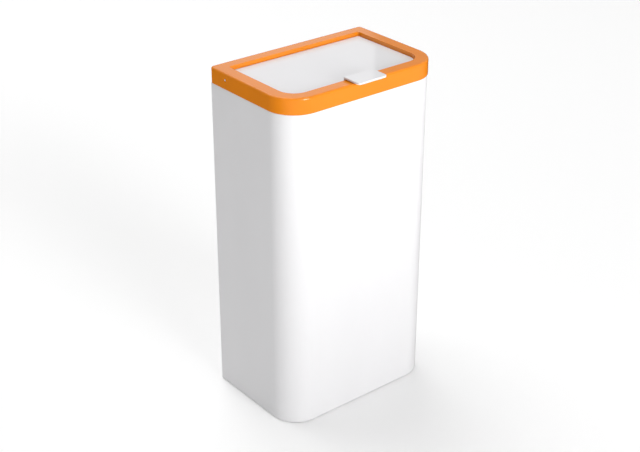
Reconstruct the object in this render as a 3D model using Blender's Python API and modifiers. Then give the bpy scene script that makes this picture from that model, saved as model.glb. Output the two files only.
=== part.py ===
"""Slim free-standing or wall-hung waste bin: white body, orange lift-off top frame, hinged finger-tab lid.

Metres, +Z up, the front faces -Y, the hinge line runs along X. Depths are given as distances behind the
front face of the top frame and moved to the shared frame by depth().
"""
import math

import bmesh
import bpy

# overall, millimetres
FRAME_WIDTH = 285.0
FRAME_DEPTH = 185.0
FRAME_TOP = 540.0
FRAME_FOOT = 515.0
FRONT_RADIUS = 46.0
BACK_RADIUS = 2.5
FRAME_BACK_RADIUS = 5.5
FIT = 0.3

# how far cutting tools run past the faces they cut
PAST = 5.0
SINK_PAST = 0.5

# body moulding
BODY_INSET = 1.2
BODY_HALF = FRAME_WIDTH / 2.0 - BODY_INSET
WALL = 3.0
BODY_BOTTOM = 1.0
BODY_TOP = FRAME_FOOT - FIT
FLOOR_UNDER = 3.0
FLOOR_TOP = 6.0
FLOOR_REAR = 181.2
FLANGE_INNER_X = 127.0
FLANGE_FRONT = 178.7
FLANGE_REAR = 181.7
FLANGE_BOTTOM = 4.5
FLANGE_TOP = 499.0
BOSS_X = 132.5
BOSS_RADIUS = 4.2
BOSS_FRONT = 168.5
PILOT_RADIUS = 1.8
PILOT_FRONT = 170.0
SCREW_HEIGHTS = (40.0, 180.0, 320.0, 460.0)

# back panel
PANEL_FRONT = 182.0
PANEL_HALF = 138.0
SINK_SMALL = 1.9
SINK_LARGE = 3.95
KEY_X = 90.0
KEY_HEIGHT = 452.0
KEY_LARGE = 5.0
KEY_SMALL = 2.6
KEY_RISE = 14.0

# panel screws
SCREW_HEAD = 3.5
SCREW_RIM = 0.2
SCREW_SHANK = 1.45
SCREW_TIP = 171.5
SCREW_POINT = 2.0
SCREW_NECK = 182.7
SCREW_FACE = 184.8
CROSS_LONG = 3.6
CROSS_WIDE = 0.8
CROSS_DEEP = 0.9
CROSS_SHALLOW = 0.81

# feet
FOOT_X = 112.0
FOOT_FRONT = 34.0
FOOT_REAR = 158.0
FOOT_RADIUS = 10.0
FOOT_BEVEL = 1.2
FOOT_STEM_RISE = 3.0
STEM_RADIUS = 2.4
STEM_HOLE = 2.8
STEM_HEAD = 4.2

# top frame section, inset from the outer outline
OUTER_WALL = 3.0
TOP_PLATE = 3.0
SKIRT_OUT = 4.5
SKIRT_IN = 6.5
SKIRT_FOOT = 500.0
INNER_WALL_OUT = 17.5
BAND = 20.0
INNER_WALL_FOOT = 512.0
TOP_FILLET = 3.2

# lid hinge
AXIS_DEPTH = 148.3
AXIS_HEIGHT = 528.9
PIN_RADIUS = 2.0
PIN_BEVEL = 0.4
BORE_RADIUS = 2.4
PIN_OUTER = 142.2
PIN_INNER = 113.0
SLEEVE_RADIUS = 4.6

# ledge, rubber buttons, open stops, ribs of the frame
LEDGE_HALF = 98.0
LEDGE_REAR = 28.5
LEDGE_UNDER = 520.5
LEDGE_TOP = 523.0
BUTTON_X = 80.0
BUTTON_DEPTH = 24.0
BUTTON_RADIUS = 3.4
BUTTON_BEVEL = 0.8
BUTTON_STEM = 1.4
BUTTON_HEAD = 2.4
BUTTON_TOP = 525.7
BUTTON_TAIL = 2.0
LUG_INNER_X = 116.5
LUG_FRONT = 134.5
LUG_REAR = 142.4
LUG_FOOT = 512.6
LUG_TOP = 517.2
RIB_THICK = 1.6
RIB_BITE = 0.8
RIB_FOOT = 524.0
FRAME_RIBS_X = (-66.0, -22.0, 22.0, 66.0)
FRAME_RIBS_DEPTH = (62.0, 92.0, 122.0)

# lid
LID_TOP = 534.0
LID_PLATE = 3.0
LID_FOOT = 526.0
LID_SKIRT = 2.0
LID_SIDE_GAP = 1.0
LID_HALF = FRAME_WIDTH / 2.0 - BAND - LID_SIDE_GAP
LID_FRONT = 21.0
LID_REAR = 163.8
LID_EDGE = 0.8
LID_BOSS_RADIUS = 4.6
LID_BOSS_INNER = 111.5
LID_BORE_INNER = 112.6
TAB_OVERHANG = 11.5
TAB_HALF = 26.5
TAB_UNDER = 541.5
TAB_TOP = 544.5
TAB_REAR = 22.6
TAB_CORNER = 4.5
TAB_EDGE = 0.6
TAB_BITE = 1.0
WEB_INSET = 0.3
WEB_SET_BACK = 0.1
WEB_RISE = 1.0
LID_RIB_FOOT = 528.5
LID_RIBS_X = (-75.0, -28.5, 28.5, 75.0)

# bag ring and clips
RING_HALF = 126.0
RING_FRONT = 20.0
RING_REAR = 166.0
RING_CORNER = 30.0
RING_RADIUS = 2.0
RING_HEIGHT = 484.3
CLIP_DEPTHS = (62.0, 128.0)
CLIP_HALF_WIDTH = 8.0
CLIP_THICK = 2.2
CLIP_GUSSET = 4.5
CLIP_TOP = 496.0

# resolution and units
ARC_STEPS = 10
BACK_STEPS = 2
TAB_STEPS = 5
FILLET_STEPS = 3
EDGE_STEPS = 2
WIRE_STEPS = 2
ROUND_STEPS = 20
SMALL_STEPS = 12
SHARP_ANGLE = 35.0
FLAT_ANGLE = 0.001
WELD = 0.00001
MM = 0.001
SIDES = (("left", -1.0), ("right", 1.0))
AIM = {"X": (0.0, math.pi / 2.0, 0.0), "Y": (-math.pi / 2.0, 0.0, 0.0), "Z": (0.0, 0.0, 0.0)}

ORANGE = (0.93, 0.29, 0.02, 1.0)
WHITE = (0.83, 0.83, 0.84, 1.0)
LID_WHITE = (0.80, 0.80, 0.82, 1.0)
STEEL = (0.62, 0.62, 0.63, 1.0)
RUBBER = (0.03, 0.03, 0.03, 1.0)

# material: colour, roughness, metallic
LOOKS = {
    "body_white": (WHITE, 0.25, 0.0),
    "panel_white": (WHITE, 0.35, 0.0),
    "clip_white": (WHITE, 0.45, 0.0),
    "lid_white": (LID_WHITE, 0.15, 0.0),
    "frame_orange": (ORANGE, 0.25, 0.0),
    "bright_steel": (STEEL, 0.3, 1.0),
    "black_rubber": (RUBBER, 0.8, 0.0),
}


def clear_scene():
    for item in list(bpy.data.objects):
        bpy.data.objects.remove(item, do_unlink=True)


def new_collection(name):
    group = bpy.data.collections.new(name)
    bpy.context.scene.collection.children.link(group)
    return group


def new_material(name, colour, roughness, metallic):
    material = bpy.data.materials.new(name)
    material.use_nodes = True
    shader = material.node_tree.nodes["Principled BSDF"]
    shader.inputs["Base Color"].default_value = colour
    shader.inputs["Roughness"].default_value = roughness
    shader.inputs["Metallic"].default_value = metallic
    return material


def depth(distance):
    """World Y of a plane that lies this far behind the front face of the top frame."""
    return distance - (FRAME_DEPTH - TAB_OVERHANG) / 2.0


# outlines, millimetres


def arc(cx, cy, radius, start, sweep, steps):
    points = []
    for index in range(steps + 1):
        angle = math.radians(start + sweep * index / steps)
        points.append((cx + radius * math.cos(angle), cy + radius * math.sin(angle)))
    return points


def bin_outline(half, front, rear, front_radius, rear_radius):
    low = depth(front) + front_radius
    high = depth(rear) - rear_radius
    rear_steps = BACK_STEPS if rear_radius <= BACK_RADIUS else ARC_STEPS
    points = arc(half - front_radius, low, front_radius, 270.0, 90.0, ARC_STEPS)
    points += arc(half - rear_radius, high, rear_radius, 0.0, 90.0, rear_steps)
    points += arc(-half + rear_radius, high, rear_radius, 90.0, 90.0, rear_steps)
    points += arc(-half + front_radius, low, front_radius, 180.0, 90.0, ARC_STEPS)
    return points


def frame_outline(inset):
    half = FRAME_WIDTH / 2.0 - inset
    rear_radius = max(BACK_RADIUS, FRAME_BACK_RADIUS - inset)
    return bin_outline(half, inset, FRAME_DEPTH - inset, FRONT_RADIUS - inset, rear_radius)


def lid_outline(inset):
    half = LID_HALF - inset
    radius = FRONT_RADIUS - BAND - LID_SIDE_GAP - inset
    return bin_outline(half, LID_FRONT + inset, LID_REAR - inset, radius, BACK_RADIUS)


# solids


def add_object(name, data, group, material):
    item = bpy.data.objects.new(name, data)
    group.objects.link(item)
    if material:
        data.materials.append(material)
    return item


def slab(name, outlines, low, high, group, material=None):
    """Flat outline with thickness along Z; a second outline inside the first makes a ring."""
    curve = bpy.data.curves.new(name, "CURVE")
    curve.dimensions = "2D"
    curve.fill_mode = "BOTH"
    curve.extrude = (high - low) * MM / 2.0
    for points in outlines:
        spline = curve.splines.new("POLY")
        spline.points.add(len(points) - 1)
        for point, (x, y) in zip(spline.points, points):
            point.co = (x * MM, y * MM, 0.0, 1.0)
        spline.use_cyclic_u = True
    source = add_object(name + "_curve", curve, group, None)
    bpy.context.view_layer.update()
    data = bpy.data.meshes.new_from_object(source.evaluated_get(bpy.context.evaluated_depsgraph_get()))
    bpy.data.objects.remove(source, do_unlink=True)
    mesh = bmesh.new()
    mesh.from_mesh(data)
    bmesh.ops.remove_doubles(mesh, verts=mesh.verts, dist=WELD)
    bmesh.ops.dissolve_limit(mesh, angle_limit=FLAT_ANGLE, verts=mesh.verts, edges=mesh.edges)
    bmesh.ops.translate(mesh, vec=(0.0, 0.0, (high + low) * MM / 2.0), verts=mesh.verts)
    mesh.to_mesh(data)
    mesh.free()
    return add_object(name, data, group, material)


def round_edges(item, height, width, steps):
    """Round the edges of a slab that lie in the plane at this height."""
    mesh = bmesh.new()
    mesh.from_mesh(item.data)
    level = height * MM
    edges = [edge for edge in mesh.edges if all(abs(vert.co.z - level) < WELD for vert in edge.verts)]
    bmesh.ops.bevel(mesh, geom=edges, offset=width * MM, segments=steps, profile=0.5, affect="EDGES")
    mesh.to_mesh(item.data)
    mesh.free()


def block(name, low, high, group, material=None):
    mesh = bmesh.new()
    bmesh.ops.create_cube(mesh, size=1.0)
    bmesh.ops.scale(mesh, vec=[(b - a) * MM for a, b in zip(low, high)], verts=mesh.verts)
    bmesh.ops.translate(mesh, vec=[(a + b) * MM / 2.0 for a, b in zip(low, high)], verts=mesh.verts)
    data = bpy.data.meshes.new(name)
    mesh.to_mesh(data)
    mesh.free()
    return add_object(name, data, group, material)


def rod(name, axis, centre, low, high, radius, end_radius, steps, group):
    """Cylinder or cone along an axis through a centre, between two positions measured along that axis."""
    mesh = bmesh.new()
    bmesh.ops.create_cone(
        mesh,
        cap_ends=True,
        segments=steps,
        radius1=radius * MM,
        radius2=end_radius * MM,
        depth=(high - low) * MM,
    )
    data = bpy.data.meshes.new(name)
    mesh.to_mesh(data)
    mesh.free()
    item = add_object(name, data, group, None)
    place(item, axis, centre, (low + high) / 2.0)
    return item


def place(item, axis, centre, along):
    """Aim an object's own Z at the given axis and stand it this far along that axis."""
    spot = [value * MM for value in centre]
    spot["XYZ".index(axis)] = along * MM
    item.rotation_euler = AIM[axis]
    item.location = spot


def turned(name, profile, steps, group, material):
    """Turned piece from (radius, height) points that run down its outer side from the axis to the axis."""
    mesh = bmesh.new()
    verts = [mesh.verts.new((radius * MM, 0.0, height * MM)) for radius, height in profile]
    for first, second in zip(verts[:-1], verts[1:]):
        mesh.edges.new((first, second))
    data = bpy.data.meshes.new(name)
    mesh.to_mesh(data)
    mesh.free()
    item = add_object(name, data, group, material)
    screw = item.modifiers.new("turn", "SCREW")
    screw.steps = steps
    screw.render_steps = steps
    screw.use_merge_vertices = True
    screw.merge_threshold = WELD
    screw.use_smooth_shade = True
    return item


def shape_with(item, cutter, operation):
    cutter.hide_render = True
    cutter.display_type = "WIRE"
    modifier = item.modifiers.new(cutter.name, "BOOLEAN")
    modifier.operation = operation
    modifier.solver = "EXACT"
    modifier.object = cutter


def join_to(item, tools):
    for tool in tools:
        shape_with(item, tool, "UNION")


def cut_from(item, tools):
    for tool in tools:
        shape_with(item, tool, "DIFFERENCE")


def smooth(item):
    item.data.shade_smooth()
    item.data.set_sharp_from_angle(angle=math.radians(SHARP_ANGLE))


# body moulding


def foot_places():
    return [(x, depth(y)) for y in (FOOT_FRONT, FOOT_REAR) for x in (-FOOT_X, FOOT_X)]


def panel_fixings():
    return [(x, z) for z in SCREW_HEIGHTS for x in (-BOSS_X, BOSS_X)]


def build_body(parts, tools, material):
    radius = FRONT_RADIUS - BODY_INSET
    outside = bin_outline(BODY_HALF, BODY_INSET, FRAME_DEPTH, radius, BACK_RADIUS)
    body = slab("body_shell", [outside], BODY_BOTTOM, BODY_TOP, parts, material)
    open_rear = FRAME_DEPTH + PAST
    inside = bin_outline(BODY_HALF - WALL, BODY_INSET + WALL, open_rear, radius - WALL, BACK_RADIUS)
    cut_from(body, [slab("body_inside", [inside], BODY_BOTTOM - PAST, BODY_TOP + PAST, tools)])
    bite = WALL / 2.0
    floor = bin_outline(BODY_HALF - bite, BODY_INSET + bite, FLOOR_REAR, radius - bite, BACK_RADIUS)
    join_to(body, [slab("body_floor", [floor], FLOOR_UNDER, FLOOR_TOP, tools)])
    for side, sign in SIDES:
        ends = sorted((sign * FLANGE_INNER_X, sign * (BODY_HALF - bite)))
        low = (ends[0], depth(FLANGE_FRONT), FLANGE_BOTTOM)
        high = (ends[1], depth(FLANGE_REAR), FLANGE_TOP)
        join_to(body, [block("flange_" + side, low, high, tools)])
    for index, (x, z) in enumerate(panel_fixings()):
        boss_rear = depth((FLANGE_FRONT + FLANGE_REAR) / 2.0)
        boss = rod("boss_" + str(index), "Y", (x, 0.0, z), depth(BOSS_FRONT), boss_rear,
                   BOSS_RADIUS, BOSS_RADIUS, SMALL_STEPS, tools)
        pilot = rod("pilot_" + str(index), "Y", (x, 0.0, z), depth(PILOT_FRONT), depth(FRAME_DEPTH),
                    PILOT_RADIUS, PILOT_RADIUS, SMALL_STEPS, tools)
        join_to(body, [boss])
        cut_from(body, [pilot])
    for index, (x, y) in enumerate(foot_places()):
        hole = rod("foot_hole_" + str(index), "Z", (x, y, 0.0), FLOOR_UNDER - PAST, FLOOR_TOP + PAST,
                   STEM_HOLE, STEM_HOLE, SMALL_STEPS, tools)
        cut_from(body, [hole])
    smooth(body)


# back panel and its screws


def keyhole():
    """Keyhole with its wide end round the origin and its narrow end above it."""
    join = math.degrees(math.asin(KEY_SMALL / KEY_LARGE))
    wide = arc(0.0, 0.0, KEY_LARGE, 90.0 + join, 360.0 - 2.0 * join, SMALL_STEPS)
    narrow = arc(0.0, KEY_RISE, KEY_SMALL, 0.0, 180.0, SMALL_STEPS // 2)
    return wide + narrow


def build_panel(parts, tools, material):
    low = (-PANEL_HALF, depth(PANEL_FRONT), BODY_BOTTOM)
    high = (PANEL_HALF, depth(FRAME_DEPTH), BODY_TOP)
    panel = block("back_panel", low, high, parts, material)
    slope = (SINK_LARGE - SINK_SMALL) / (FRAME_DEPTH - PANEL_FRONT)
    front = depth(PANEL_FRONT - SINK_PAST)
    rear = depth(FRAME_DEPTH + SINK_PAST)
    small = SINK_SMALL - slope * SINK_PAST
    large = SINK_LARGE + slope * SINK_PAST
    for index, (x, z) in enumerate(panel_fixings()):
        sink = rod("sink_" + str(index), "Y", (x, 0.0, z), front, rear, small, large, SMALL_STEPS, tools)
        cut_from(panel, [sink])
    for side, sign in SIDES:
        slot = slab("keyhole_" + side, [keyhole()], -PAST, PAST, tools)
        slot.rotation_euler = (math.radians(90.0), 0.0, 0.0)
        slot.location = (sign * KEY_X * MM, depth(FRAME_DEPTH) * MM, KEY_HEIGHT * MM)
        cut_from(panel, [slot])


def build_screws(parts, tools, material):
    """Countersunk cross-head screws, modelled from the head face down to the tip."""
    length = SCREW_FACE - SCREW_TIP
    profile = [
        (0.0, 0.0),
        (SCREW_HEAD, 0.0),
        (SCREW_HEAD, -SCREW_RIM),
        (SCREW_SHANK, -(SCREW_FACE - SCREW_NECK)),
        (SCREW_SHANK, -length + SCREW_POINT),
        (0.0, -length),
    ]
    long = CROSS_LONG / 2.0
    wide = CROSS_WIDE / 2.0
    face = depth(SCREW_FACE)
    for index, (x, z) in enumerate(panel_fixings()):
        name = "panel_screw_" + str(index + 1)
        screw = turned(name, profile, SMALL_STEPS, parts, material)
        place(screw, "Y", (x, 0.0, z), face)
        flat = block(name + "_flat", (x - long, face - CROSS_DEEP, z - wide),
                     (x + long, face + PAST, z + wide), tools)
        tall = block(name + "_tall", (x - wide, face - CROSS_SHALLOW, z - long),
                     (x + wide, face + PAST, z + long), tools)
        cut_from(screw, [flat, tall])


# feet


def build_feet(parts, material):
    """Rubber foot with a stem pushed up through the floor and a head that keeps it there."""
    profile = [
        (0.0, FLOOR_TOP + FOOT_STEM_RISE),
        (STEM_RADIUS, FLOOR_TOP + FOOT_STEM_RISE),
        (STEM_HEAD, FLOOR_TOP + FIT),
        (STEM_RADIUS, FLOOR_TOP + FIT),
        (STEM_RADIUS, FLOOR_UNDER - FIT),
        (FOOT_RADIUS, FLOOR_UNDER - FIT),
        (FOOT_RADIUS, FOOT_BEVEL),
        (FOOT_RADIUS - FOOT_BEVEL, 0.0),
        (0.0, 0.0),
    ]
    names = ("foot_front_left", "foot_front_right", "foot_rear_left", "foot_rear_right")
    for name, (x, y) in zip(names, foot_places()):
        foot = turned(name, profile, ROUND_STEPS, parts, material)
        place(foot, "Z", (x, y, 0.0), 0.0)


# bag ring and its clips


def build_ring(parts, material):
    curve = bpy.data.curves.new("bag_ring", "CURVE")
    curve.dimensions = "3D"
    curve.bevel_depth = RING_RADIUS * MM
    curve.bevel_resolution = WIRE_STEPS
    points = bin_outline(RING_HALF, RING_FRONT, RING_REAR, RING_CORNER, RING_CORNER)
    spline = curve.splines.new("POLY")
    spline.points.add(len(points) - 1)
    for point, (x, y) in zip(spline.points, points):
        point.co = (x * MM, y * MM, 0.0, 1.0)
    spline.use_cyclic_u = True
    ring = add_object("bag_ring", curve, parts, material)
    ring.location = (0.0, 0.0, RING_HEIGHT * MM)


def clip_outline():
    """Hook seen from the front: pad on the wall, gusset, arm under the wire and a tip beyond it."""
    wire = BODY_HALF - WALL - RING_HALF
    arm_top = RING_HEIGHT - RING_RADIUS - FIT
    arm_under = arm_top - CLIP_THICK
    tip_near = wire + RING_RADIUS + FIT
    tip_far = tip_near + CLIP_THICK
    tip_top = RING_HEIGHT + RING_RADIUS
    return [
        (FIT, arm_under - CLIP_GUSSET),
        (CLIP_THICK, arm_under - CLIP_GUSSET),
        (CLIP_THICK + CLIP_GUSSET, arm_under),
        (tip_far, arm_under),
        (tip_far, tip_top),
        (tip_near, tip_top),
        (tip_near, arm_top),
        (CLIP_THICK, arm_top),
        (CLIP_THICK, CLIP_TOP),
        (FIT, CLIP_TOP),
    ]


def build_clips(parts, material):
    wall_x = BODY_HALF - WALL
    for row, middle in zip(("front", "rear"), CLIP_DEPTHS):
        for side, sign in SIDES:
            points = [(sign * (wall_x - x), z) for x, z in clip_outline()]
            name = "ring_clip_" + row + "_" + side
            clip = slab(name, [points], -CLIP_HALF_WIDTH, CLIP_HALF_WIDTH, parts, material)
            clip.rotation_euler = (math.radians(90.0), 0.0, 0.0)
            clip.location = (0.0, depth(middle) * MM, 0.0)


# lift-off top frame


def frame_ribs(tools):
    """Ribs across the hollow underside of the frame."""
    ribs = []
    top = FRAME_TOP - TOP_PLATE / 2.0
    half = RIB_THICK / 2.0
    near = SKIRT_IN - RIB_BITE
    far = INNER_WALL_OUT + RIB_BITE
    for index, x in enumerate(FRAME_RIBS_X):
        for end, low, high in (("front", near, far), ("rear", FRAME_DEPTH - far, FRAME_DEPTH - near)):
            name = end + "_rib_" + str(index)
            ribs.append(block(name, (x - half, depth(low), RIB_FOOT), (x + half, depth(high), top), tools))
    for index, y in enumerate(FRAME_RIBS_DEPTH):
        for side, sign in SIDES:
            ends = sorted((sign * (FRAME_WIDTH / 2.0 - near), sign * (FRAME_WIDTH / 2.0 - far)))
            low = (ends[0], depth(y) - half, RIB_FOOT)
            high = (ends[1], depth(y) + half, top)
            ribs.append(block(side + "_rib_" + str(index), low, high, tools))
    return ribs


def frame_ledge(tools):
    low = (-LEDGE_HALF, depth(BAND - RIB_BITE), LEDGE_UNDER)
    high = (LEDGE_HALF, depth(LEDGE_REAR), LEDGE_TOP)
    return block("ledge", low, high, tools)


def open_stop(side, sign, tools):
    ends = sorted((sign * LUG_INNER_X, sign * (FRAME_WIDTH / 2.0 - BAND + RIB_BITE)))
    low = (ends[0], depth(LUG_FRONT), LUG_FOOT)
    high = (ends[1], depth(LUG_REAR), LUG_TOP)
    return block("open_stop_" + side, low, high, tools)


def hinge_rod(name, sign, near, far, radius, tools):
    ends = sorted((sign * near, sign * far))
    centre = (0.0, depth(AXIS_DEPTH), AXIS_HEIGHT)
    return rod(name, "X", centre, ends[0], ends[1], radius, radius, ROUND_STEPS, tools)


def build_frame(parts, tools, material):
    frame = slab("rim_frame", [frame_outline(0.0)], INNER_WALL_FOOT, FRAME_TOP, parts, material)
    round_edges(frame, FRAME_TOP, TOP_FILLET, FILLET_STEPS)
    below = SKIRT_FOOT - PAST
    plate_under = FRAME_TOP - TOP_PLATE
    opening = slab("opening", [frame_outline(BAND)], below, FRAME_TOP + PAST, tools)
    hollow = slab("hollow", [frame_outline(OUTER_WALL), frame_outline(INNER_WALL_OUT)],
                  below, plate_under, tools)
    step_in = (SKIRT_IN + INNER_WALL_OUT) / 2.0
    step = slab("outer_step", [frame_outline(-PAST), frame_outline(step_in)], below, FRAME_FOOT, tools)
    skirt = slab("skirt", [frame_outline(SKIRT_OUT), frame_outline(SKIRT_IN)], SKIRT_FOOT,
                 FRAME_TOP - TOP_PLATE / 2.0, tools)
    cut_from(frame, [opening, hollow, step])
    join_to(frame, [skirt] + frame_ribs(tools) + [frame_ledge(tools)])
    half = FRAME_WIDTH / 2.0
    for side, sign in SIDES:
        near = half - INNER_WALL_OUT - RIB_BITE
        far = half - SKIRT_IN + RIB_BITE
        sleeve = hinge_rod("sleeve_" + side, sign, near, far, SLEEVE_RADIUS, tools)
        bore = hinge_rod("frame_bore_" + side, sign, half - BAND - PAST, half + PAST, BORE_RADIUS, tools)
        centre = (sign * BUTTON_X, depth(BUTTON_DEPTH), 0.0)
        hole = rod("button_hole_" + side, "Z", centre, LEDGE_UNDER - PAST, LEDGE_TOP + PAST,
                   PILOT_RADIUS, PILOT_RADIUS, SMALL_STEPS, tools)
        join_to(frame, [open_stop(side, sign, tools), sleeve])
        cut_from(frame, [bore, hole])
    smooth(frame)


def build_pins(parts, material):
    length = PIN_OUTER - PIN_INNER
    profile = [
        (0.0, length / 2.0),
        (PIN_RADIUS - PIN_BEVEL, length / 2.0),
        (PIN_RADIUS, length / 2.0 - PIN_BEVEL),
        (PIN_RADIUS, -length / 2.0 + PIN_BEVEL),
        (PIN_RADIUS - PIN_BEVEL, -length / 2.0),
        (0.0, -length / 2.0),
    ]
    for side, sign in SIDES:
        pin = turned("hinge_pin_" + side, profile, ROUND_STEPS, parts, material)
        place(pin, "X", (0.0, depth(AXIS_DEPTH), AXIS_HEIGHT), sign * (PIN_OUTER + PIN_INNER) / 2.0)


def build_buttons(parts, material):
    """Rubber button pressed into the ledge, where the closed lid comes to rest."""
    profile = [
        (0.0, BUTTON_TOP),
        (BUTTON_RADIUS - BUTTON_BEVEL, BUTTON_TOP),
        (BUTTON_RADIUS, BUTTON_TOP - BUTTON_BEVEL),
        (BUTTON_RADIUS, LEDGE_TOP + FIT),
        (BUTTON_STEM, LEDGE_TOP + FIT),
        (BUTTON_STEM, LEDGE_UNDER - FIT),
        (BUTTON_HEAD, LEDGE_UNDER - FIT),
        (BUTTON_STEM, LEDGE_UNDER - BUTTON_TAIL),
        (0.0, LEDGE_UNDER - BUTTON_TAIL),
    ]
    for side, sign in SIDES:
        button = turned("lid_button_" + side, profile, SMALL_STEPS, parts, material)
        place(button, "Z", (sign * BUTTON_X, depth(BUTTON_DEPTH), 0.0), 0.0)


# lid


def tab_outline():
    front = depth(-TAB_OVERHANG) + TAB_CORNER
    rear = depth(TAB_REAR)
    middle = TAB_HALF - TAB_CORNER
    points = arc(middle, front, TAB_CORNER, 270.0, 90.0, TAB_STEPS)
    points += [(TAB_HALF, rear), (-TAB_HALF, rear)]
    points += arc(-middle, front, TAB_CORNER, 180.0, 90.0, TAB_STEPS)
    return points


def build_lid(parts, tools, material):
    lid = slab("lid", [lid_outline(0.0)], LID_FOOT, LID_TOP, parts, material)
    round_edges(lid, LID_TOP, LID_EDGE, EDGE_STEPS)
    plate_under = LID_TOP - LID_PLATE
    cut_from(lid, [slab("lid_underside", [lid_outline(LID_SKIRT)], LID_FOOT - PAST, plate_under, tools)])
    web_half = TAB_HALF - WEB_INSET
    web = block("tab_web", (-web_half, depth(LID_FRONT + WEB_SET_BACK), LID_FOOT + WEB_RISE),
                (web_half, depth(TAB_REAR - WEB_INSET), TAB_TOP - TAB_BITE), tools)
    tab = slab("tab", [tab_outline()], TAB_UNDER, TAB_TOP, tools)
    round_edges(tab, TAB_TOP, TAB_EDGE, EDGE_STEPS)
    round_edges(tab, TAB_UNDER, TAB_EDGE, EDGE_STEPS)
    join_to(lid, [web, tab])
    for index, x in enumerate(LID_RIBS_X):
        low = (x - RIB_THICK / 2.0, depth(LID_FRONT + LID_SKIRT / 2.0), LID_RIB_FOOT)
        high = (x + RIB_THICK / 2.0, depth(LID_REAR - LID_SKIRT / 2.0), plate_under + RIB_BITE)
        join_to(lid, [block("lid_rib_" + str(index), low, high, tools)])
    boss_far = LID_HALF - LID_SKIRT / 2.0
    for side, sign in SIDES:
        boss = hinge_rod("lid_boss_" + side, sign, LID_BOSS_INNER, boss_far, LID_BOSS_RADIUS, tools)
        bore = hinge_rod("lid_bore_" + side, sign, LID_BORE_INNER, LID_HALF + PAST, BORE_RADIUS, tools)
        join_to(lid, [boss])
        cut_from(lid, [bore])
    smooth(lid)


def hang(items, origin):
    """Parent the pieces that move together to an empty on their joint."""
    pivot = bpy.data.objects.new(items[0].name + "_pivot", None)
    pivot.location = [value * MM for value in origin]
    items[0].users_collection[0].objects.link(pivot)
    bpy.context.view_layer.update()
    for item in items:
        item.parent = pivot
        item.matrix_parent_inverse = pivot.matrix_world.inverted()


def main():
    clear_scene()
    parts = new_collection("waste_bin")
    tools = new_collection("tools")
    looks = {name: new_material(name, *look) for name, look in LOOKS.items()}
    build_body(parts, tools, looks["body_white"])
    build_panel(parts, tools, looks["panel_white"])
    build_screws(parts, tools, looks["bright_steel"])
    build_feet(parts, looks["black_rubber"])
    build_ring(parts, looks["bright_steel"])
    build_clips(parts, looks["clip_white"])
    build_frame(parts, tools, looks["frame_orange"])
    build_pins(parts, looks["bright_steel"])
    build_buttons(parts, looks["black_rubber"])
    build_lid(parts, tools, looks["lid_white"])
    frame_names = ("rim_frame", "hinge_pin_left", "hinge_pin_right", "lid_button_left", "lid_button_right")
    hang([parts.objects[name] for name in frame_names], (0.0, depth(FRAME_DEPTH / 2.0), FRAME_FOOT))
    hang([parts.objects["lid"]], (0.0, depth(AXIS_DEPTH), AXIS_HEIGHT))


main()
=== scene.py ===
"""Looks of the slim waste bin: a fine piece for every CAD node, procedural materials and soft light.

Meshes are worked out in millimetres, in the shared frame (+Z up, the front faces -Y, the hinge along X),
and turned into metres when a piece is finished. Outer sizes and places come from the CAD nodes' boxes.
Corners of outlines and sections are (u, v, radius), and depths are measured from the front of the top frame.
"""
import math

import bmesh
import bpy
from mathutils import Matrix, Vector


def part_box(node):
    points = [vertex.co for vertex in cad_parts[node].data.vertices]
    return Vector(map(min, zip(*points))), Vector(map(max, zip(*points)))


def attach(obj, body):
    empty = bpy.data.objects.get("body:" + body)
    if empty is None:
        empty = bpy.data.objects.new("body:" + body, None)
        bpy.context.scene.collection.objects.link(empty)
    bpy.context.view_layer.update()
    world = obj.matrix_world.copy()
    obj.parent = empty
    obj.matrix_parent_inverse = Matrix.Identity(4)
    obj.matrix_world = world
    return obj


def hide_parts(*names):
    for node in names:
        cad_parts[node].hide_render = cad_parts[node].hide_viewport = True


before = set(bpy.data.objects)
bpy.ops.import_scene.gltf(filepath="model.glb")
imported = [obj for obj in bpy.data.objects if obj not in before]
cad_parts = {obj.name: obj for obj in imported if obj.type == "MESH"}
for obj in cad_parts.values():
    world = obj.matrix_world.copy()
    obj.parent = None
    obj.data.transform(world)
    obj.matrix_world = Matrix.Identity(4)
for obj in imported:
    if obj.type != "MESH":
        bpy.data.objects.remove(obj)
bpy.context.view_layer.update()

MM = 0.001
SIGNS = (-1.0, 1.0)
SIDES = tuple(zip(("left", "right"), SIGNS))


def box_mm(node):
    """Lowest and highest corner of a CAD node, in millimetres."""
    low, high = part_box(node)
    return Vector(low) / MM, Vector(high) / MM


def middle_mm(node):
    low, high = box_mm(node)
    return (low + high) / 2.0


# sizes read from the frame, millimetres
RIM_LOW, RIM_HIGH = box_mm("rim_frame")
BODY_LOW, BODY_HIGH = box_mm("body_shell")
LID_LOW, LID_HIGH = box_mm("lid")
PANEL_LOW, PANEL_HIGH = box_mm("back_panel")
FOOT_LOW, FOOT_HIGH = box_mm("foot_front_left")
RING_LOW, RING_HIGH = box_mm("bag_ring")
CLIP_LOW, CLIP_HIGH = box_mm("ring_clip_front_left")
PIN_LOW, PIN_HIGH = box_mm("hinge_pin_left")
BUTTON_LOW, BUTTON_HIGH = box_mm("lid_button_left")
SCREW_LOW, SCREW_HIGH = box_mm("panel_screw_1")
HALF_WIDTH = RIM_HIGH.x
FRONT = RIM_LOW.y
REAR = RIM_HIGH.y
RIM_TOP = RIM_HIGH.z
AXIS = middle_mm("hinge_pin_left")
RING_HEIGHT = middle_mm("bag_ring").z
SCREW_PLACES = [middle_mm("panel_screw_" + str(index)) for index in range(1, 9)]
PLACE_NAMES = ("front_left", "front_right", "rear_left", "rear_right")
FOOT_NAMES = ["foot_" + name for name in PLACE_NAMES]
CLIP_NAMES = ["ring_clip_" + name for name in PLACE_NAMES]

# rounding shared by frame and body
CORNER = 46.0
BACK_CORNER = 2.5
FIT = 0.3

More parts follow.
